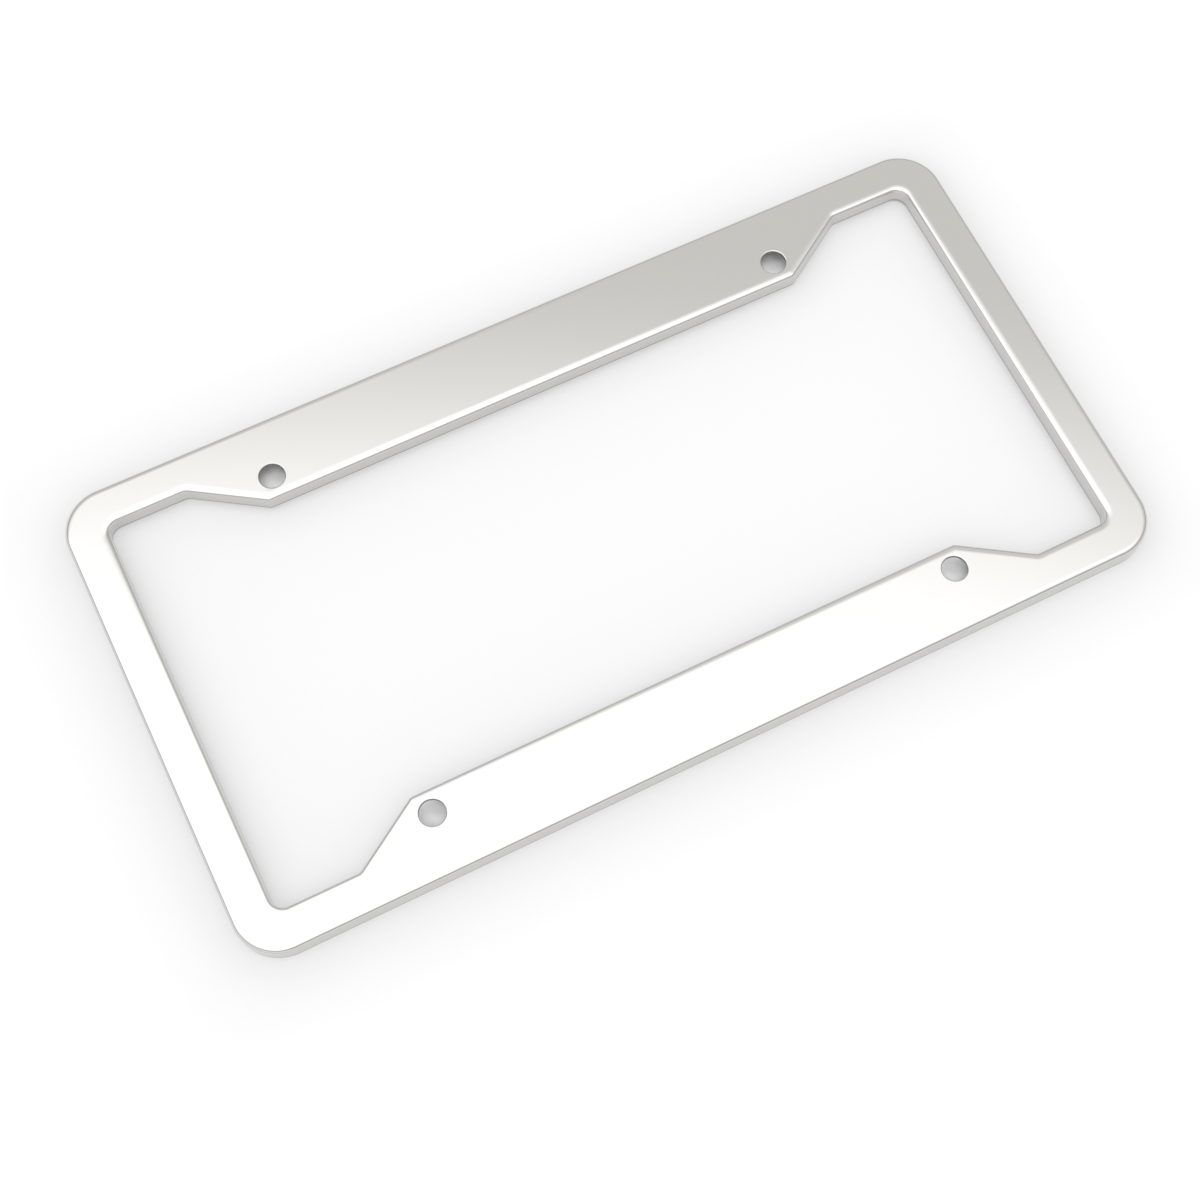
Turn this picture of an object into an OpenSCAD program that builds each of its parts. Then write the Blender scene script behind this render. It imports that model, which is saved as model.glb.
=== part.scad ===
// Frame that goes round a car's number plate and is fixed with it.
// One polished steel sheet, pressed: a flat front face, a wall bent down all
// round the outside and a shorter lip bent down all round the opening.
// The opening is taller at its two ends; the four slanted steps leave room
// for the fixing holes in the wider middle of the upper and lower bars.
// Lengths are in mm, angles in degrees. The foot of the outer wall is at Z 0.

/* [Fixing holes] */
// Diameter of the four holes
hole_diameter = 8.2; // [5:0.1:9]
// Distance between the holes along the frame
hole_pitch_x = 177.8; // [150:0.1:200]
// Distance between the holes across the frame
hole_pitch_y = 120.65; // [100:0.05:140]
// Radius of the edge that the punch rolled over on the front face
hole_edge_radius = 0.4; // [0.1:0.05:0.6]

/* [Opening] */
// From the row of holes across to the straight edge between the steps
hole_to_edge = 7.7; // [7:0.1:12]
// From a hole along to the inner end of its step
hole_to_step = 4; // [1:0.1:12]
// Length of a step along the frame
step_length = 22.3; // [12:0.1:30]
// Height of a step across the frame
step_height = 14.275; // [6:0.025:16]
// Length of the tall end of the opening, beyond the step
end_length = 26.2; // [16:0.1:40]
// Radius of the four corners of the opening
opening_corner_radius = 4; // [2:0.5:8]
// Radius where a step runs into the end of the opening
step_root_radius = 2.5; // [1:0.5:10]
// Radius of the step's other end, on the flat of the face
step_tip_radius = 0.5; // [0.3:0.1:6]

/* [Frame] */
// Width of the two side bars
side_bar_width = 13.1; // [10:0.1:20]
// Width of the upper and lower bars at their narrow ends
end_bar_width = 12.8; // [10:0.1:20]
// Depth from the front face to the foot of the outer wall
frame_depth = 7.4; // [6:0.1:12]
// Thickness of the sheet
sheet_thickness = 1; // [0.6:0.1:1.2]
// Radius of the four outer corners, seen from the front
corner_radius = 14.5; // [8:0.5:24]
// Outside radius of the bend between the face and the outer wall
wall_bend_radius = 2.5; // [1.4:0.1:3.5]

/* [Lip] */
// Depth from the front face to the foot of the lip
lip_depth = 5.5; // [3:0.1:6]
// Outside radius of the bend between the face and the lip
lip_bend_radius = 1.7; // [1.4:0.1:2.4]
// How far the lip leans into the opening
lip_lean = 6; // [0:1:10]

/* [Hidden] */
steel = [0.82, 0.82, 0.81];
$fn = 96;
face_z = frame_depth;
web_z = frame_depth - sheet_thickness;
right_angle = 90;
cut_past = 1;
// steps in which the flat face's hidden outline goes round a turn
outline_steps = 6;
// flat strips that the bent sections take along; the face overlaps them
wall_tab = 1;
lip_tab = step_tip_radius / 2;

// the lip below its bend, and the axis of that bend: X is the distance from
// the foot of the lip into the metal, Z is the height
lip_inner_radius = lip_bend_radius - sheet_thickness;
lip_straight = (lip_depth - lip_bend_radius + lip_inner_radius * sin(lip_lean)) / cos(lip_lean);
lip_axis_x = lip_bend_radius * cos(lip_lean) + lip_straight * sin(lip_lean);
lip_axis_z = face_z - lip_bend_radius;

// a quarter of the opening's outline, at the foot of the lip, and of the
// frame's: both are laid out from the fixing hole outwards
hole_x = hole_pitch_x / 2;
hole_y = hole_pitch_y / 2;
tip_x = hole_x + hole_to_step;
tip_y = hole_y - hole_to_edge;
root_x = tip_x + step_length;
open_x = root_x + end_length;
open_y = tip_y + step_height;
half_length = open_x + side_bar_width;
half_width = open_y + end_bar_width;
tip_radius = step_tip_radius + lip_axis_x;
// reaches past the whole frame, for cutting a piece off at a plane
far = 2 * half_length;
// how steeply a step slants, and how much of it its two rounded ends take
step_slant = atan2(step_height, step_length);
root_reach = step_root_radius * tan(step_slant / 2);
tip_reach = tip_radius * tan(step_slant / 2);
step_straight = norm([step_length, step_height]) - root_reach - tip_reach;
// axes of the three round turns, seen from the front
corner_axis = [open_x - opening_corner_radius, open_y - opening_corner_radius];
root_axis = [root_x + root_reach, open_y - step_root_radius];
tip_axis = [tip_x - tip_reach, tip_y + tip_radius];

// the sheet bent round the origin, from the top over to the left and down,
// then straight on for a length; it stops lean degrees short of upright
module bent_sheet(radius, lean, straight) {
    over = radius + cut_past;
    intersection() {
        difference() {
            circle(radius);
            circle(radius - sheet_thickness);
        }
        translate([-over, -over]) square([over, 2 * over]);
        rotate(-lean) translate([-over, 0]) square([2 * over, over]);
    }
    rotate(-lean) translate([-radius, -straight]) square([sheet_thickness, straight]);
}

// section of the outer wall, X from the outside of the wall inwards
module wall_section() {
    straight = face_z - wall_bend_radius;
    translate([wall_bend_radius, straight]) bent_sheet(wall_bend_radius, 0, straight);
    translate([wall_bend_radius, web_z]) square([wall_tab, sheet_thickness]);
}

// section of the lip, X from the foot of the lip into the metal
module lip_section() {
    translate([lip_axis_x, lip_axis_z]) bent_sheet(lip_bend_radius, lip_lean, lip_straight);
    translate([lip_axis_x, web_z]) square([lip_tab, sheet_thickness]);
}

// a section drawn out along X, its own X pointing to +Y
module along_x(length) {
    rotate([right_angle, 0, right_angle]) linear_extrude(length) children();
}

// everything on the +X side of the origin, and everything on its -X side
module ahead() {
    translate([0, -far, -far]) cube(2 * far);
}

module behind() {
    translate([-2 * far, -far, -far]) cube(2 * far);
}

// a quarter turn of a section about the origin, from one angle on; the
// section's metal lies outside the turn, or inside it
module turn_outside(radius, start) {
    rotate([0, 0, start]) rotate_extrude(angle = right_angle) translate([radius, 0]) children();
}

module turn_inside(radius, start) {
    rotate([0, 0, start])
        rotate_extrude(angle = right_angle) translate([radius, 0]) mirror([1, 0]) children();
}

// the lip round a quarter of the opening: corner, end, step and middle, which
// runs on past the frame's centre. Each part is cut off in the frame of the
// next one, so that they meet exactly and the slant can take any value
module lip_quarter() {
    translate(concat(corner_axis, 0)) turn_outside(opening_corner_radius, 0) lip_section();
    intersection() {
        translate([root_axis[0], open_y, 0]) along_x(open_x) lip_section();
        translate([corner_axis[0], 0, 0]) behind();
    }
    translate(concat(root_axis, 0)) {
        intersection() {
            turn_outside(step_root_radius, right_angle) lip_section();
            rotate([0, 0, step_slant]) ahead();
        }
        rotate([0, 0, step_slant]) {
            translate([-step_straight, step_root_radius, 0]) along_x(step_straight) lip_section();
            translate([-step_straight, step_root_radius + tip_radius, 0]) {
                intersection() {
                    rotate([0, 0, -step_slant]) turn_inside(tip_radius, -right_angle) lip_section();
                    behind();
                }
                rotate([0, 0, -step_slant])
                    translate([-far, -tip_radius, 0]) along_x(far) lip_section();
            }
        }
    }
}

module lip() {
    for (x = [0, 1], y = [0, 1])
        mirror([x, 0, 0]) mirror([0, y, 0])
            intersection() {
                lip_quarter();
                ahead();
            }
    for (x = [0, 1])
        mirror([x, 0, 0])
            translate([open_x, corner_axis[1], 0])
                rotate([right_angle, 0, 0]) linear_extrude(2 * corner_axis[1]) lip_section();
}

module wall() {
    side_x = half_length - corner_radius;
    side_y = half_width - corner_radius;
    for (x = [0, 1], y = [0, 1])
        mirror([x, 0, 0]) mirror([0, y, 0])
            translate([side_x, side_y, 0]) turn_inside(corner_radius, 0) wall_section();
    for (x = [0, 1])
        mirror([x, 0, 0])
            translate([half_length, -side_y, 0])
                rotate([right_angle, 0, 2 * right_angle]) linear_extrude(2 * side_y) wall_section();
    for (y = [0, 1])
        mirror([0, y, 0])
            translate([side_x, half_width, 0])
                rotate([right_angle, 0, -right_angle]) linear_extrude(2 * side_x) wall_section();
}

// corners of the outline that touches a round turn about an axis all the way
function round_turn(axis, radius, start, swing) =
    let (step = swing / outline_steps, reach = radius / cos(step / 2)) [
        for (i = [0 : outline_steps - 1])
            let (a = start + step * i + step / 2) axis + reach * [cos(a), sin(a)]
    ];

// a whole outline from the points of its upper right quarter
function whole(quarter) =
    let (last = len(quarter) - 1) concat(
        quarter,
        [for (i = [last : -1 : 0]) [-quarter[i][0], quarter[i][1]]],
        [for (p = quarter) -p],
        [for (i = [last : -1 : 0]) [quarter[i][0], -quarter[i][1]]]
    );

// the flat front face; its edges lie under the middle of the sections' strips
module face() {
    wall_inset = wall_bend_radius + wall_tab / 2;
    lip_inset = lip_axis_x + lip_tab / 2;
    outside = round_turn(
        [half_length - corner_radius, half_width - corner_radius],
        corner_radius - wall_inset, 0, right_angle
    );
    inside = concat(
        round_turn(corner_axis, opening_corner_radius + lip_inset, 0, right_angle),
        round_turn(root_axis, step_root_radius + lip_inset, right_angle, step_slant),
        round_turn(tip_axis, tip_radius - lip_inset, step_slant - right_angle, -step_slant)
    );
    translate([0, 0, web_z])
        linear_extrude(sheet_thickness)
            difference() {
                polygon(whole(outside));
                polygon(whole(inside));
            }
}

// what the punch takes out for a hole: a bore whose front edge is rolled over
module hole_cut() {
    bore = hole_diameter / 2;
    edge = bore + hole_edge_radius;
    translate([0, 0, web_z - cut_past])
        cylinder(h = sheet_thickness + 2 * cut_past, d = hole_diameter);
    translate([0, 0, face_z - hole_edge_radius])
        rotate_extrude()
            difference() {
                square([edge, hole_edge_radius + cut_past]);
                translate([edge, 0]) circle(hole_edge_radius);
            }
}

module plate_frame() {
    color(steel)
        difference() {
            union() {
                face();
                wall();
                lip();
            }
            for (x = [-hole_x, hole_x], y = [-hole_y, hole_y])
                translate([x, y, 0]) hole_cut();
        }
}

plate_frame();
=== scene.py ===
import math

import bpy
from mathutils import Matrix, Vector


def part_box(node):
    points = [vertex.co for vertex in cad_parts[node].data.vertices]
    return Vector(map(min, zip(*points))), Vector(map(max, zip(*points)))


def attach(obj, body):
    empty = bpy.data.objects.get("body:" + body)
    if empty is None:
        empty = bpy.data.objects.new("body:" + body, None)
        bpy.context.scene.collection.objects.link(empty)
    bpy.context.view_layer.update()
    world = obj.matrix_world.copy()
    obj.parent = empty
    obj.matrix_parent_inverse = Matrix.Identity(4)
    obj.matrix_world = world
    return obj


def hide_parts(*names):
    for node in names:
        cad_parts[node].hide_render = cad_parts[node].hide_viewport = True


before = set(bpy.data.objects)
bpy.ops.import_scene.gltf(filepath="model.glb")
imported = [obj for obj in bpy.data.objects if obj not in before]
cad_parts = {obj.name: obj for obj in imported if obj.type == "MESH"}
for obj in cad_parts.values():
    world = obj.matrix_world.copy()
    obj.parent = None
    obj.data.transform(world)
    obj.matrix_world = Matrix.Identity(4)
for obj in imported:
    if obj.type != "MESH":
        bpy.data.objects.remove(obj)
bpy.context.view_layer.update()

bl_info = {
    "name": "Number Plate Frame",
    "version": (1, 0, 0),
    "blender": (4, 5, 0),
    "location": "View3D > Sidebar > Plate Frame",
    "description": "A mirror-polished steel frame for a car's number plate, with its studio",
    "category": "Add Mesh",
}

MM = 0.001
RIGHT_ANGLE = math.radians(90)
NODE = "plate_frame"
LOW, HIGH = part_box(NODE)

# the mesh: turns sharper than CREASE stay sharp, points closer than WELD become one;
# the window's outline has twelve corners, and a hole's ring has four quarter turns
CREASE = math.radians(40)
WELD = 0.0005 * MM
WINDOW_CORNERS = 12
QUARTER_TURNS = 4

# the steel's finish: the sizes of its patterns, and how rough it is within them
SHEET_WAVE = 45 * MM
SHEET_WAVE_HEIGHT = 0.03 * MM
BUFFING_HAZE = 2.5 * MM
HAZE_RANGE = (0.3, 0.7)
POLISHED_ROUGHNESS = (0.05, 0.08)
SHEARED_ROUGHNESS = (0.3, 0.5)

# the studio, by the height of a direction over the horizon (0 level, 1 straight up)
STUDIO_STOPS = (
    (0.0, "FAFAFA"), (0.24, "FAFAFA"), (0.29, "949290"), (0.38, "949290"),
    (0.47, "E0DFDC"), (0.6, "F0F0ED"),
)
LIGHT_FADE = (0.38, 0.52)
LIGHT_CENTRE = (-0.46, -0.13, 0.0)
LIGHT_FLATNESS = (1.0, 1.527, 0.0)
LIGHT_EDGE = (0.924, 1.133)

# the card's painted shade, by how much open space there is over it: darkest where the sheet is
# close, and painted lighter again behind the lip, for light that the bright steel throws down;
# CARD_GLOW is how much of this painted tone shows, and WHITE_START how far off the card is fully
# white, past a painted shade near the frame
CARD_STOPS = (
    (0.0, "000000"), (0.13, "808080"), (0.25, "FFFFFF"), (0.36, "F6F6F6"), (0.5, "ECECEC"),
    (0.9, "F0F0F0"), (1.0, "FFFFFF"),
)
CARD_GLOW = 0.55
SHADOW_REACH = 60 * MM
SHADOW_SAMPLES = 16
WHITE_START = 55 * MM
WHITE_RANGE = (0.94, 1.08)

# the camera, found from the frame's edge lines and holes in the photograph: FOCAL and
# CENTRE are in points of a picture PICTURE points wide, and PLACE is in millimetres
# from the middle of the front face
PICTURE = 1200
FILM = 36.0
FOCAL = 2024.0
CENTRE = (641.3, 596.3)
PLACE = (-120.9, -217.2, 580.3)
HEADING, PITCH, ROLL = (math.radians(angle) for angle in (-31.671, 90 - 68.8514, 5.4452))
NEAR, FAR = 0.01, 50.0


def linear(code):
    """An sRGB hex colour as linear red, green, blue and alpha."""
    parts = [int(code[i:i + 2], 16) / 255 for i in (0, 2, 4)]
    toned = [c / 12.92 if c <= 0.04045 else ((c + 0.055) / 1.055) ** 2.4 for c in parts]
    return toned + [1.0]


def add(tree, kind, inputs=None, **settings):
    """Adds a node. inputs gives a socket's name or number a value or another node's output."""
    made = tree.nodes.new(kind)
    for name, value in settings.items():
        setattr(made, name, value)
    for name, value in (inputs or {}).items():
        if isinstance(value, bpy.types.NodeSocket):
            tree.links.new(value, made.inputs[name])
        else:
            made.inputs[name].default_value = value
    return made


def set_stops(ramp, stops):
    """Gives a colour ramp, which starts with two stops, these places and hex colours."""
    for number, (at, code) in enumerate(stops):
        stop = ramp.elements[number] if number < 2 else ramp.elements.new(at)
        stop.position = at
        stop.color = linear(code)


def length(name, description, default):
    """A length property, given in millimetres."""
    return bpy.props.FloatProperty(
        name=name, description=description, default=default * MM,
        min=0, unit="LENGTH", subtype="DISTANCE", precision=5,
    )


def colour(name, description, code):
    """A colour property, given as an sRGB hex value."""
    return bpy.props.FloatVectorProperty(
        name=name, description=description, default=linear(code),
        size=4, min=0, max=1, subtype="COLOR",
    )


class SheetSettings(bpy.types.PropertyGroup):
    """Sizes and colours of the sheet; its length, width and depth come from the CAD node."""
    thickness: length("Sheet", "Thickness of the steel sheet", 1)
    corner: length("Corners", "Radius of the outer corners, seen from the front", 14.5)
    side_bar: length("Side bars", "Width of the two side bars", 13.1)
    end_bar: length("Bar ends", "Width of the upper and lower bars at their narrow ends", 12.8)
    end_length: length("Window ends", "Length of the tall ends of the window", 26.2)
    step_length: length("Step length", "Length of a slanted step along the frame", 22.3)
    step_height: length("Step height", "Height of a slanted step across the frame", 14.275)
    window_corner: length("Window corners", "Radius of the window's four corners", 4)
    step_root: length("Step root", "Radius where a step runs into the window's end", 2.5)
    step_tip: length("Step tip", "Radius of the step's other end on the flat face", 0.2)
    wall_bend: length("Wall bend", "Radius of the bend down into the outer wall", 1.6)
    wall_rolloff: length("Wall roll-off", "Radius of the faint curve before the wall's bend", 10)
    lip_bend: length("Lip bend", "Radius of the bend down into the lip", 1.2)
    lip_rolloff: length("Lip roll-off", "Radius of the faint curve before the lip's bend", 14)
    lip_depth: length("Lip depth", "Depth of the lip below the front face", 5.5)
    # painted shade: this strip at the foot of wall and lip gets half the dark cut-edge grey
    dull_strip: length("Dull strip", "Height of the dull strip above the sheared foot", 0.6)
    hole: length("Hole radius", "Radius of the fixing holes", 4.1)
    hole_edge: length("Hole edge", "Radius that the punch rolled over round a hole", 0.4)
    pitch_x: length("Hole pitch along", "Distance between the holes along the frame", 177.8)
    pitch_y: length("Hole pitch across", "Distance between the holes across the frame", 120.65)
    wall_tilt: bpy.props.FloatProperty(
        name="Wall tilt", description="How far the face tilts before the wall's bend starts",
        default=math.radians(3.5), subtype="ANGLE", unit="ROTATION",
    )
    lip_tilt: bpy.props.FloatProperty(
        name="Lip tilt", description="How far the face tilts before the lip's bend starts",
        default=math.radians(6), subtype="ANGLE", unit="ROTATION",
    )
    lip_lean: bpy.props.FloatProperty(
        name="Lip lean", description="How far the lip leans into the window",
        default=math.radians(4), subtype="ANGLE", unit="ROTATION",
    )
    steps: bpy.props.IntProperty(
        name="Steps", description="Facets along a quarter turn", default=24, min=4, max=64,
    )
    polished: colour("Polished steel", "Colour of the mirror-polished faces", "D2D1CF")
    # the colour below is real on the cut edges, and also painted shade on the hole bores and, at
    # half, on a strip at each foot
    sheared_and_shade: colour("Sheared steel", "Colour of the edges that the press cut", "8E8C88")


class StudioSettings(bpy.types.PropertyGroup):
    """The card that the frame lies on and the light over it."""
    card: colour("Card", "Colour of the matt card under the frame", "F2F2F4")
    card_reach: bpy.props.FloatProperty(
        name="Card reach", description="How far the card runs from the frame to each side",
        default=6, min=0.5, unit="LENGTH", subtype="DISTANCE",
    )
    overhead: colour("Overhead light", "Colour of the wide light overhead", "FFFFFF")
    strength: bpy.props.FloatProperty(
        name="Light strength", description="Brightness of the wide light, where 1 is white",
        default=1.62, min=0,
    )


def draw_section(name, splines, side):
    """A section of the sheet as poly splines that meet end to end.

    Curve to Mesh turns a profile's Y downwards and its X to the outside of an
    outline, so it is drawn upside down, and mirrored for an opening (side -1).
    """
    curve = bpy.data.curves.new(name, "CURVE")
    for points in splines:
        spline = curve.splines.new("POLY")
        spline.points.add(len(points) - 1)
        for point, place in zip(spline.points, points[::side]):
            point.co = (side * place[0], -place[1], 0, 1)
    drawn = bpy.data.objects.new(name, curve)
    bpy.context.scene.collection.objects.link(drawn)
    return drawn


def turn(centre, radius, start, end, steps):
    """Points round an arc; the angles count from straight up, clockwise."""
    count = max(2, math.ceil(steps * abs(end - start) / RIGHT_ANGLE))
    angles = [start + (end - start) * i / count for i in range(count + 1)]
    return [centre + radius * Vector((math.sin(a), math.cos(a))) for a in angles]


def folded_section(name, sizes, bend, rolloff, tilt, depth, lean, side):
    """Section of a fold, and how far it reaches out from the flat face.

    X runs out from the face and Y up. The face first tilts a little on the slow
    curve (rolloff), then turns down on the fast one (bend) into a straight wall.
    """
    upright = RIGHT_ANGLE - lean
    thick = sizes.thickness
    slow = Vector((0, -rolloff))
    fast = slow + (rolloff - bend) * Vector((math.sin(tilt), math.cos(tilt)))
    outward = Vector((math.sin(upright), math.cos(upright)))
    down = Vector((math.cos(upright), -math.sin(upright)))
    inner_end = fast + (bend - thick) * outward
    straight = (depth + inner_end.y) / math.sin(upright)
    outer_end = fast + bend * outward
    # the wall's straight part is split where the strip of painted shade at its foot starts
    shade_strip_start = outer_end + (straight - sizes.dull_strip) * down
    outer_foot = outer_end + straight * down
    inner_foot = inner_end + straight * down
    steps = sizes.steps
    slow_steps = 4 * steps
    splines = [
        turn(slow, rolloff, 0, tilt, slow_steps),
        turn(fast, bend, tilt, upright, steps),
        [outer_end, shade_strip_start, outer_foot],
        [outer_foot, inner_foot],
        [inner_foot, inner_end],
        turn(fast, bend - thick, upright, tilt, steps),
        turn(slow, rolloff - thick, tilt, 0, slow_steps),
    ]
    return draw_section(name, splines, side), max(outer_foot.x, 0)


def hole_section(name, sizes):
    """Section of a punched hole: X runs from the flat face to the bore."""
    edge, thick = sizes.hole_edge, sizes.thickness
    splines = [
        turn(Vector((0, -edge)), edge, 0, RIGHT_ANGLE, sizes.steps),
        [Vector((edge, -edge)), Vector((edge, -thick))],
        [Vector((edge, -thick)), Vector((0, -thick))],
    ]
    return draw_section(name, splines, -1)


def frame_tree():
    """Geometry Nodes: the sheet from its sizes and its three sections."""
    tree = bpy.data.node_groups.new("Pressed plate frame", "GeometryNodeTree")
    face = tree.interface
    face.new_socket("Geometry", in_out="INPUT", socket_type="NodeSocketGeometry")
    for name in ("Wall section", "Lip section", "Hole section"):
        face.new_socket(name, in_out="INPUT", socket_type="NodeSocketObject")
    for name in (
        "Length", "Width", "Face height", "Sheet", "Corner radius",
        "Window length", "Window height", "Step length", "Step height", "Window end",
        "Window corner radius", "Root radius", "Tip radius",
        "Hole ring", "Hole pitch along", "Hole pitch across",
    ):
        face.new_socket(name, in_out="INPUT", socket_type="NodeSocketFloat")
    face.new_socket("Steps", in_out="INPUT", socket_type="NodeSocketInt")
    face.new_socket("Steel", in_out="INPUT", socket_type="NodeSocketMaterial")
    face.new_socket("Geometry", in_out="OUTPUT", socket_type="NodeSocketGeometry")
    given = add(tree, "NodeGroupInput").outputs

    # outline of the flat face: a rectangle with round corners
    rectangle = add(tree, "GeometryNodeCurvePrimitiveQuadrilateral", {
        "Width": given["Length"], "Height": given["Width"],
    })
    outside = add(tree, "GeometryNodeFilletCurve", {
        "Curve": rectangle.outputs[0], "Count": given["Steps"],
        "Radius": given["Corner radius"],
    }, mode="POLY")

    # outline of the window: its corners are counted round from the right upper one, and
    # in each quarter they are the window's corner (0), the step's root (1) and its tip (2)
    half_count, quarter_count = WINDOW_CORNERS / 2, WINDOW_CORNERS / 4
    index = add(tree, "GeometryNodeInputIndex").outputs[0]
    half = add(tree, "ShaderNodeMath", {0: index, 1: half_count}, operation="MODULO")
    back = add(tree, "ShaderNodeMath", {
        0: half_count - 1, 1: half.outputs[0],
    }, operation="SUBTRACT")
    corner = add(tree, "ShaderNodeMath", {
        0: half.outputs[0], 1: back.outputs[0],
    }, operation="MINIMUM")
    upper = add(tree, "ShaderNodeMath", {0: index, 1: half_count}, operation="LESS_THAN")
    shifted = add(tree, "ShaderNodeMath", {0: index, 1: quarter_count}, operation="ADD")
    wrapped = add(tree, "ShaderNodeMath", {
        0: shifted.outputs[0], 1: float(WINDOW_CORNERS),
    }, operation="MODULO")
    right = add(tree, "ShaderNodeMath", {
        0: wrapped.outputs[0], 1: half_count,
    }, operation="LESS_THAN")
    side = add(tree, "ShaderNodeMapRange", {"Value": right.outputs[0], "To Min": -1.0})
    level = add(tree, "ShaderNodeMapRange", {"Value": upper.outputs[0], "To Min": -1.0})
    open_x = add(tree, "ShaderNodeMath", {
        0: given["Window length"], 1: 0.5,
    }, operation="MULTIPLY").outputs[0]
    open_y = add(tree, "ShaderNodeMath", {
        0: given["Window height"], 1: 0.5,
    }, operation="MULTIPLY").outputs[0]
    root_x = add(tree, "ShaderNodeMath", {
        0: open_x, 1: given["Window end"],
    }, operation="SUBTRACT").outputs[0]
    tip_x = add(tree, "ShaderNodeMath", {
        0: root_x, 1: given["Step length"],
    }, operation="SUBTRACT").outputs[0]
    tip_y = add(tree, "ShaderNodeMath", {
        0: open_y, 1: given["Step height"],
    }, operation="SUBTRACT").outputs[0]
    picked = []
    for by_corner in (
        (open_x, root_x, tip_x),
        (open_y, open_y, tip_y),
        (given["Window corner radius"], given["Root radius"], given["Tip radius"]),
    ):
        switch = add(tree, "GeometryNodeIndexSwitch", {
            "Index": corner.outputs[0],
        }, data_type="FLOAT")
        switch.index_switch_items.new()
        for number, value in enumerate(by_corner):
            tree.links.new(value, switch.inputs[str(number)])
        picked.append(switch.outputs[0])
    along, across, radius = picked
    place = add(tree, "ShaderNodeCombineXYZ", {"X": along, "Y": across})
    signs = add(tree, "ShaderNodeCombineXYZ", {"X": side.outputs[0], "Y": level.outputs[0]})
    signed = add(tree, "ShaderNodeVectorMath", {
        0: place.outputs[0], 1: signs.outputs[0],
    }, operation="MULTIPLY")
    ring = add(tree, "GeometryNodeCurvePrimitiveCircle", {"Resolution": WINDOW_CORNERS})
    window = add(tree, "GeometryNodeSetPosition", {
        "Geometry": ring.outputs[0], "Position": signed.outputs[0],
    })
    window = add(tree, "GeometryNodeFilletCurve", {
        "Curve": window.outputs[0], "Count": given["Steps"], "Radius": radius,
    }, mode="POLY")

    # rings round the four holes
    corners = add(tree, "GeometryNodeMeshGrid", {
        "Size X": given["Hole pitch along"], "Size Y": given["Hole pitch across"],
        "Vertices X": 2, "Vertices Y": 2,
    })
    around = add(tree, "ShaderNodeMath", {
        0: given["Steps"], 1: float(QUARTER_TURNS),
    }, operation="MULTIPLY")
    hole = add(tree, "GeometryNodeCurvePrimitiveCircle", {
        "Resolution": around.outputs[0], "Radius": given["Hole ring"],
    })
    holes = add(tree, "GeometryNodeInstanceOnPoints", {
        "Points": corners.outputs["Mesh"], "Instance": hole.outputs[0],
    })
    holes = add(tree, "GeometryNodeRealizeInstances", {"Geometry": holes.outputs[0]})

    # the flat face and its back, filled between the outlines
    outlines = add(tree, "GeometryNodeJoinGeometry")
    for made in (outside, window, holes):
        tree.links.new(made.outputs[0], outlines.inputs[0])
    filled = add(tree, "GeometryNodeFillCurve", {"Curve": outlines.outputs[0]})
    under = add(tree, "ShaderNodeMath", {
        0: given["Sheet"], 1: -1.0,
    }, operation="MULTIPLY")
    drop = add(tree, "ShaderNodeCombineXYZ", {"Z": under.outputs[0]})
    lowered = add(tree, "GeometryNodeTransform", {
        "Geometry": filled.outputs[0], "Translation": drop.outputs[0],
    })
    lowered = add(tree, "GeometryNodeFlipFaces", {"Mesh": lowered.outputs[0]})

    # the folds and the holes' edges, drawn round the outlines
    pieces = [filled, lowered]
    sections = (outside, "Wall section"), (window, "Lip section"), (holes, "Hole section")
    for outline, section in sections:
        upright = add(tree, "GeometryNodeSetCurveNormal", {
            "Curve": outline.outputs[0],
        }, mode="Z_UP")
        drawn = add(tree, "GeometryNodeObjectInfo", {"Object": given[section]})
        pieces.append(add(tree, "GeometryNodeCurveToMesh", {
            "Curve": upright.outputs[0], "Profile Curve": drawn.outputs["Geometry"],
        }))
    joined = add(tree, "GeometryNodeJoinGeometry")
    for made in pieces:
        tree.links.new(made.outputs[0], joined.inputs[0])
    welded = add(tree, "GeometryNodeMergeByDistance", {
        "Geometry": joined.outputs[0], "Distance": WELD,
    })
    lift = add(tree, "ShaderNodeCombineXYZ", {"Z": given["Face height"]})
    lifted = add(tree, "GeometryNodeTransform", {
        "Geometry": welded.outputs[0], "Translation": lift.outputs[0],
    })
    smooth = add(tree, "GeometryNodeSetShadeSmooth", {"Geometry": lifted.outputs[0]})
    angle = add(tree, "GeometryNodeInputMeshEdgeAngle")
    sharp = add(tree, "ShaderNodeMath", {
        0: angle.outputs["Unsigned Angle"], 1: CREASE,
    }, operation="GREATER_THAN")
    creased = add(tree, "GeometryNodeSetShadeSmooth", {
        "Geometry": smooth.outputs[0], "Selection": sharp.outputs[0], "Shade Smooth": False,
    }, domain="EDGE")
    real = add(tree, "GeometryNodeRealizeInstances", {"Geometry": creased.outputs[0]})
    dressed = add(tree, "GeometryNodeSetMaterial", {
        "Geometry": real.outputs[0], "Material": given["Steel"],
    })
    add(tree, "NodeGroupOutput", {0: dressed.outputs[0]})
    return tree


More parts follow.
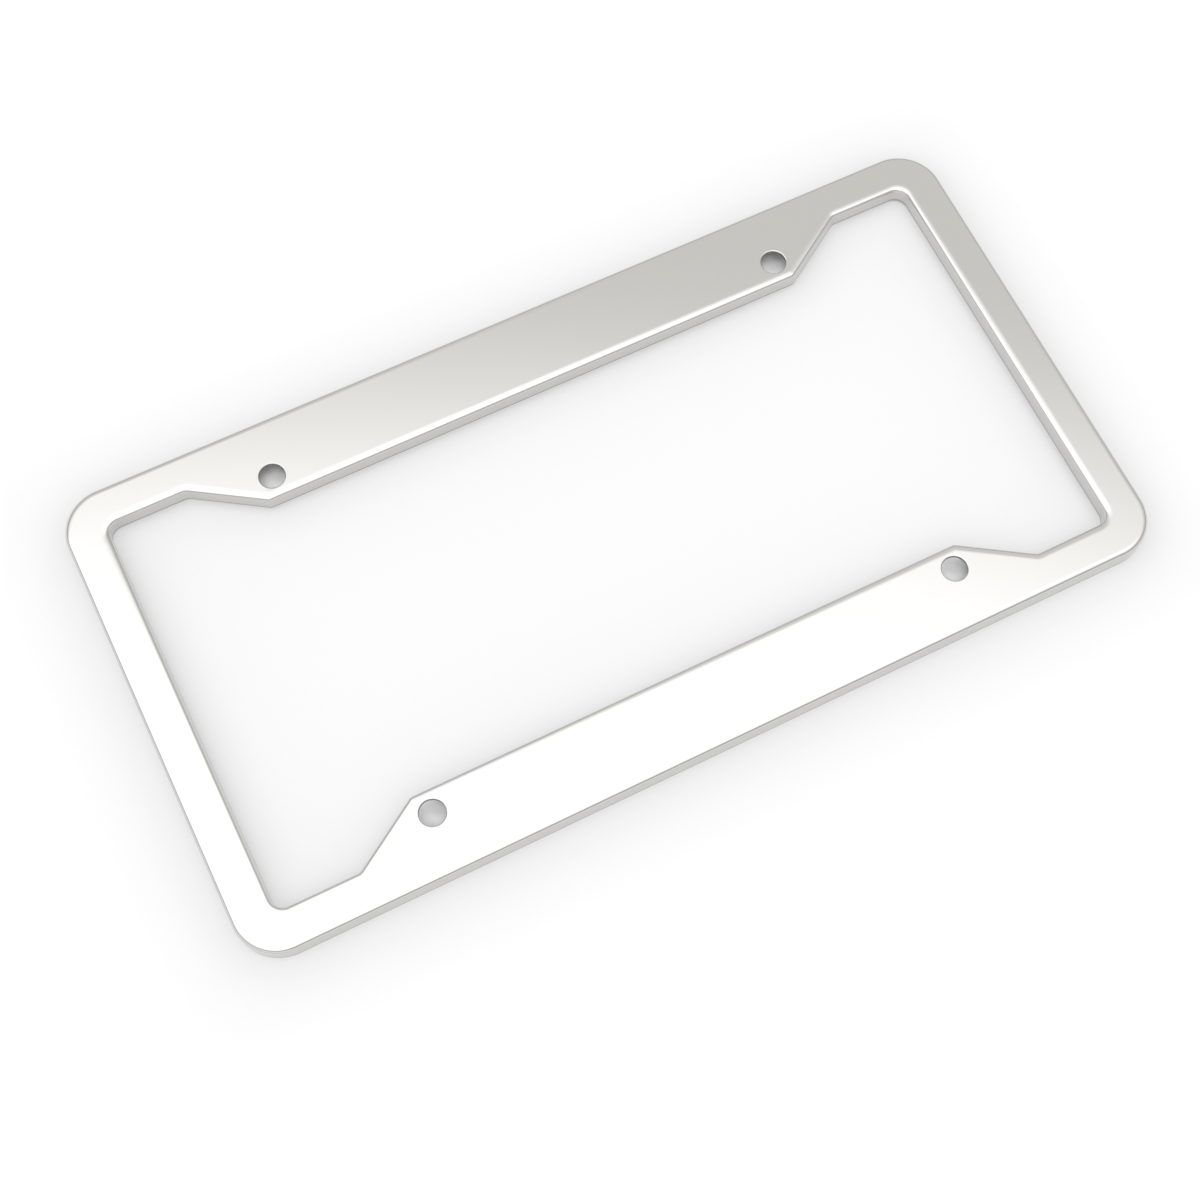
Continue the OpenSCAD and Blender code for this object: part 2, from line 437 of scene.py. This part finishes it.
def mark_sheared(mesh, sizes):
    """Marks how much of the mirror polish each face lacks, and how much painted shade it gets.

    What the press cut, the bores of the holes and the feet of wall and lip, gets 1;
    on the bores this dark grey is also painted shade. The strip above each foot gets a half,
    which is painted shade alone, standing in for the dark contact shadow seen there.
    """
    foot_margin, bore_margin, facing_down = 0.2 * MM, 0.01 * MM, -0.9
    marks = mesh.attributes.new("sheared_and_shade", "FLOAT", "FACE")
    hole = Vector((sizes.pitch_x, sizes.pitch_y)) / 2
    for face in mesh.polygons:
        place = Vector((abs(face.center.x), abs(face.center.y)))
        in_wall = place.x > HIGH.x - sizes.wall_bend or place.y > HIGH.y - sizes.wall_bend
        in_corner = (place - HIGH.xy).length < sizes.corner
        foot = LOW.z if in_wall or in_corner else HIGH.z - sizes.lip_depth
        cut = face.normal.z < facing_down and face.center.z < foot + foot_margin
        bore = (place - hole).length < sizes.hole + bore_margin
        # the strip above the foot is painted shade, half the dark grey
        shade_strip = face.center.z < foot + sizes.dull_strip
        marks.data[face.index].value = 1.0 if cut or bore else 0.5 if shade_strip else 0.0


def polished_steel(sizes):
    """Stainless steel sheet, cold rolled, pressed and then buffed to a mirror.

    It shows the studio almost sharply and a little warmer and darker than it is,
    with the rolled sheet's faint unevenness and no wear. The edges that the press
    cut were not buffed, so they stay grey and dull. The same dark grey is also
    painted shade: it darkens the hole bores and, by half, a strip at each foot.
    """
    steel = bpy.data.materials.new("mirror_polished_stainless_steel")
    steel.use_nodes = True
    tree = steel.node_tree
    tree.nodes.clear()
    place = add(tree, "ShaderNodeTexCoord").outputs["Object"]
    # the rolled sheet is uneven by hundredths of a millimetre over some 45 mm; a buffing
    # mark is about 0.05 mm wide, too fine to show, so its haze is drawn 2.5 mm wide
    waves = add(tree, "ShaderNodeTexNoise", {
        "Vector": place, "Scale": 1 / SHEET_WAVE, "Detail": 1.0,
    })
    buffing = add(tree, "ShaderNodeTexNoise", {
        "Vector": place, "Scale": 1 / BUFFING_HAZE, "Detail": 3.0,
    })
    gloss, dull = (
        add(tree, "ShaderNodeMapRange", {
            "Value": buffing.outputs[0], "From Min": HAZE_RANGE[0], "From Max": HAZE_RANGE[1],
            "To Min": smoothest, "To Max": roughest,
        })
        for smoothest, roughest in (POLISHED_ROUGHNESS, SHEARED_ROUGHNESS)
    )
    uneven = add(tree, "ShaderNodeBump", {
        "Height": waves.outputs[0], "Strength": 1.0, "Distance": SHEET_WAVE_HEIGHT,
    })
    # the mark mixes in the dark grey: real on cut edges, painted shade on the bores and the foot
    # strips
    sheared_and_shade = add(tree, "ShaderNodeAttribute", attribute_name="sheared_and_shade").outputs["Fac"]
    # a Mix node's sockets share names, so its numbers 2 and 3 (6 and 7) are used
    tint = add(tree, "ShaderNodeMix", {
        "Factor": sheared_and_shade, 6: sizes.polished, 7: sizes.sheared_and_shade,
    }, data_type="RGBA")
    finish = add(tree, "ShaderNodeMix", {
        "Factor": sheared_and_shade, 2: gloss.outputs[0], 3: dull.outputs[0],
    })
    shader = add(tree, "ShaderNodeBsdfPrincipled", {
        "Base Color": tint.outputs[2], "Metallic": 1.0,
        "Roughness": finish.outputs[0], "Normal": uneven.outputs[0],
    })
    add(tree, "ShaderNodeOutputMaterial", {"Surface": shader.outputs[0]})
    return steel


class PLATEFRAME_OT_sheet(bpy.types.Operator):
    """Press the frame out of one polished steel sheet"""
    bl_idname = "plateframe.sheet"
    bl_label = "Press the frame"

    def execute(self, context):
        sizes = context.scene.plate_sheet
        size = HIGH - LOW
        wall, wall_reach = folded_section(
            "wall_section", sizes, sizes.wall_bend, sizes.wall_rolloff, sizes.wall_tilt,
            size.z, 0, 1,
        )
        lip, lip_reach = folded_section(
            "lip_section", sizes, sizes.lip_bend, sizes.lip_rolloff, sizes.lip_tilt,
            sizes.lip_depth, sizes.lip_lean, -1,
        )
        hole = hole_section("hole_section", sizes)
        slant = math.atan2(sizes.step_height, sizes.step_length)
        steel = polished_steel(sizes)
        tree = frame_tree()
        empty = bpy.data.meshes.new("sheet_holder")
        holder = bpy.data.objects.new("sheet_holder", empty)
        context.scene.collection.objects.link(holder)
        nodes = holder.modifiers.new("sheet", "NODES")
        nodes.node_group = tree
        values = {
            "Wall section": wall,
            "Lip section": lip,
            "Hole section": hole,
            "Steel": steel,
            "Length": size.x - 2 * wall_reach,
            "Width": size.y - 2 * wall_reach,
            "Face height": HIGH.z,
            "Sheet": sizes.thickness,
            "Corner radius": sizes.corner - wall_reach,
            "Window length": size.x - 2 * sizes.side_bar + 2 * lip_reach,
            "Window height": size.y - 2 * sizes.end_bar + 2 * lip_reach,
            "Step length": sizes.step_length,
            "Step height": sizes.step_height,
            "Window end": sizes.end_length + lip_reach * (1 + math.tan(slant / 2)),
            "Window corner radius": sizes.window_corner + lip_reach,
            "Root radius": sizes.step_root + lip_reach,
            "Tip radius": sizes.step_tip,
            "Hole ring": sizes.hole + sizes.hole_edge,
            "Hole pitch along": sizes.pitch_x,
            "Hole pitch across": sizes.pitch_y,
            "Steps": sizes.steps,
        }
        for item in tree.interface.items_tree:
            if item.in_out == "INPUT" and item.name in values:
                nodes[item.identifier] = values[item.name]
        normals = holder.modifiers.new("normals", "WEIGHTED_NORMAL")
        normals.mode = "FACE_AREA"
        normals.weight = 100
        normals.keep_sharp = True
        graph = context.evaluated_depsgraph_get()
        mesh = bpy.data.meshes.new_from_object(holder.evaluated_get(graph))
        if not mesh.polygons:
            raise RuntimeError("the sheet has no faces")
        mark_sheared(mesh, sizes)
        piece = bpy.data.objects.new("pressed_sheet", mesh)
        context.scene.collection.objects.link(piece)
        # the holder goes with its modifiers, and the piece keeps their result alone
        for spare in (holder, wall, lip, hole):
            bpy.data.objects.remove(spare)
        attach(piece, "root")
        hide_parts(NODE)
        return {"FINISHED"}


def studio_world(studio):
    """The studio round the frame.

    It has a wide soft light overhead that reaches down on the left, pale walls, a dim
    strip where they end, and a white backdrop low down all round.
    """
    world = bpy.data.worlds.new("studio")
    world.use_nodes = True
    tree = world.node_tree
    tree.nodes.clear()
    way = add(tree, "ShaderNodeTexCoord").outputs["Generated"]
    height = add(tree, "ShaderNodeSeparateXYZ", {0: way}).outputs["Z"]
    walls = add(tree, "ShaderNodeValToRGB", {0: height})
    set_stops(walls.color_ramp, STUDIO_STOPS)
    off = add(tree, "ShaderNodeVectorMath", {0: way, 1: LIGHT_CENTRE}, operation="SUBTRACT")
    oval = add(tree, "ShaderNodeVectorMath", {
        0: off.outputs[0], 1: LIGHT_FLATNESS,
    }, operation="MULTIPLY")
    reach = add(tree, "ShaderNodeVectorMath", {0: oval.outputs[0]}, operation="LENGTH")
    edge = add(tree, "ShaderNodeMapRange", {
        "Value": reach.outputs["Value"], "From Min": LIGHT_EDGE[0], "From Max": LIGHT_EDGE[1],
        "To Min": 1.0, "To Max": 0.0,
    }, interpolation_type="SMOOTHSTEP")
    above = add(tree, "ShaderNodeMapRange", {
        "Value": height, "From Min": LIGHT_FADE[0], "From Max": LIGHT_FADE[1],
    }, interpolation_type="SMOOTHSTEP")
    share = add(tree, "ShaderNodeMath", {
        0: edge.outputs[0], 1: above.outputs[0],
    }, operation="MULTIPLY")
    room = add(tree, "ShaderNodeBackground", {"Color": walls.outputs[0], "Strength": 1.0})
    light = add(tree, "ShaderNodeBackground", {
        "Color": studio.overhead, "Strength": studio.strength,
    })
    mixed = add(tree, "ShaderNodeMixShader", {
        0: share.outputs[0], 1: room.outputs[0], 2: light.outputs[0],
    })
    add(tree, "ShaderNodeOutputWorld", {"Surface": mixed.outputs[0]})
    return world


def white_card(studio):
    """Photographer's matt white card, uncoated paper pulp pressed smooth.

    It is evenly white to the eye and in the steel, with no gloss, and takes the frame's
    soft shadow, which is deepest in the narrow space under the sheet. Part of that
    shadow is real light on the paper; the rest is painted shade and painted light: a
    glow toned by the open space over the card, lighter again under the lip, and
    dimmer near the frame.
    """
    card = bpy.data.materials.new("matt_white_card")
    card.use_nodes = True
    tree = card.node_tree
    tree.nodes.clear()
    seen = add(tree, "ShaderNodeLightPath").outputs
    glossy = add(tree, "ShaderNodeMath", {
        0: seen["Is Camera Ray"], 1: seen["Is Glossy Ray"],
    }, operation="MAXIMUM")
    clear = add(tree, "ShaderNodeMath", {
        0: glossy.outputs[0], 1: seen["Is Transmission Ray"],
    }, operation="MAXIMUM")
    share = add(tree, "ShaderNodeMath", {
        0: clear.outputs[0], 1: CARD_GLOW,
    }, operation="MULTIPLY")
    open_space = add(tree, "ShaderNodeAmbientOcclusion", {
        "Distance": SHADOW_REACH,
    }, samples=SHADOW_SAMPLES)
    # painted shade and painted light: the glow's colour follows the open space over the card
    painted_shade_and_light = add(tree, "ShaderNodeValToRGB", {0: open_space.outputs["AO"]})
    set_stops(painted_shade_and_light.color_ramp, CARD_STOPS)
    paper = add(tree, "ShaderNodeBsdfDiffuse", {"Color": studio.card})
    place = add(tree, "ShaderNodeTexCoord").outputs["Object"]
    away = add(tree, "ShaderNodeVectorMath", {0: place}, operation="ABSOLUTE")
    beyond = add(tree, "ShaderNodeVectorMath", {
        0: away.outputs[0], 1: (HIGH.x, HIGH.y, 1.0),
    }, operation="SUBTRACT")
    outside = add(tree, "ShaderNodeVectorMath", {
        0: beyond.outputs[0], 1: (0.0, 0.0, 0.0),
    }, operation="MAXIMUM")
    distance = add(tree, "ShaderNodeVectorMath", {0: outside.outputs[0]}, operation="LENGTH")
    # painted shade: the glow is dimmer near the frame and fully white from WHITE_START on
    wide = add(tree, "ShaderNodeMapRange", {
        "Value": distance.outputs["Value"], "From Min": 0.0, "From Max": WHITE_START,
        "To Min": WHITE_RANGE[0], "To Max": WHITE_RANGE[1],
    }, interpolation_type="SMOOTHSTEP")
    lift = add(tree, "ShaderNodeEmission", {
        "Color": painted_shade_and_light.outputs[0], "Strength": wide.outputs[0],
    })
    both = add(tree, "ShaderNodeMixShader", {
        0: share.outputs[0], 1: paper.outputs[0], 2: lift.outputs[0],
    })
    add(tree, "ShaderNodeOutputMaterial", {"Surface": both.outputs[0]})
    return card


class PLATEFRAME_OT_stage(bpy.types.Operator):
    """Set up the floor, the studio light and the camera"""
    bl_idname = "plateframe.stage"
    bl_label = "Set the stage"

    def execute(self, context):
        scene = context.scene
        studio = scene.plate_studio
        reach = studio.card_reach
        corners = [
            (x * reach, y * reach, LOW.z) for x, y in ((-1, -1), (1, -1), (1, 1), (-1, 1))
        ]
        mesh = bpy.data.meshes.new("floor")
        mesh.from_pydata(corners, [], [(0, 1, 2, 3)])
        mesh.materials.append(white_card(studio))
        floor = bpy.data.objects.new("floor", mesh)
        scene.collection.objects.link(floor)
        scene.world = studio_world(studio)

        turned = (
            Matrix.Rotation(HEADING, 3, "Z")
            @ Matrix.Rotation(PITCH, 3, "X")
            @ Matrix.Rotation(ROLL, 3, "Z")
        )
        place = Vector(PLACE) * MM + Vector((0, 0, HIGH.z))
        data = bpy.data.cameras.new("camera")
        data.sensor_width = FILM
        data.lens = FILM * FOCAL / PICTURE
        data.shift_x = (PICTURE / 2 - CENTRE[0]) / PICTURE
        data.shift_y = (CENTRE[1] - PICTURE / 2) / PICTURE
        data.clip_start = NEAR
        data.clip_end = FAR
        camera = bpy.data.objects.new("camera", data)
        camera.matrix_world = Matrix.Translation(place) @ turned.to_4x4()
        scene.collection.objects.link(camera)
        scene.camera = camera
        scene.view_settings.view_transform = "Standard"
        return {"FINISHED"}


class PLATEFRAME_PT_panel(bpy.types.Panel):
    """The frame's sizes and colours, and the steps that make it and its studio"""
    bl_idname = "PLATEFRAME_PT_panel"
    bl_label = "Number plate frame"
    bl_space_type = "VIEW_3D"
    bl_region_type = "UI"
    bl_category = "Plate Frame"

    def draw(self, context):
        column = self.layout.column()
        for settings in (context.scene.plate_sheet, context.scene.plate_studio):
            for name in type(settings).__annotations__:
                column.prop(settings, name)
        for kind in OPERATORS:
            column.operator(kind.bl_idname)


OPERATORS = (PLATEFRAME_OT_sheet, PLATEFRAME_OT_stage)
CLASSES = (SheetSettings, StudioSettings, *OPERATORS, PLATEFRAME_PT_panel)


def register():
    for kind in CLASSES:
        bpy.utils.register_class(kind)
    bpy.types.Scene.plate_sheet = bpy.props.PointerProperty(type=SheetSettings)
    bpy.types.Scene.plate_studio = bpy.props.PointerProperty(type=StudioSettings)


def unregister():
    del bpy.types.Scene.plate_studio
    del bpy.types.Scene.plate_sheet
    for kind in reversed(CLASSES):
        bpy.utils.unregister_class(kind)


def main():
    register()
    bpy.ops.plateframe.sheet()
    bpy.ops.plateframe.stage()


if __name__ == "__main__":
    main()
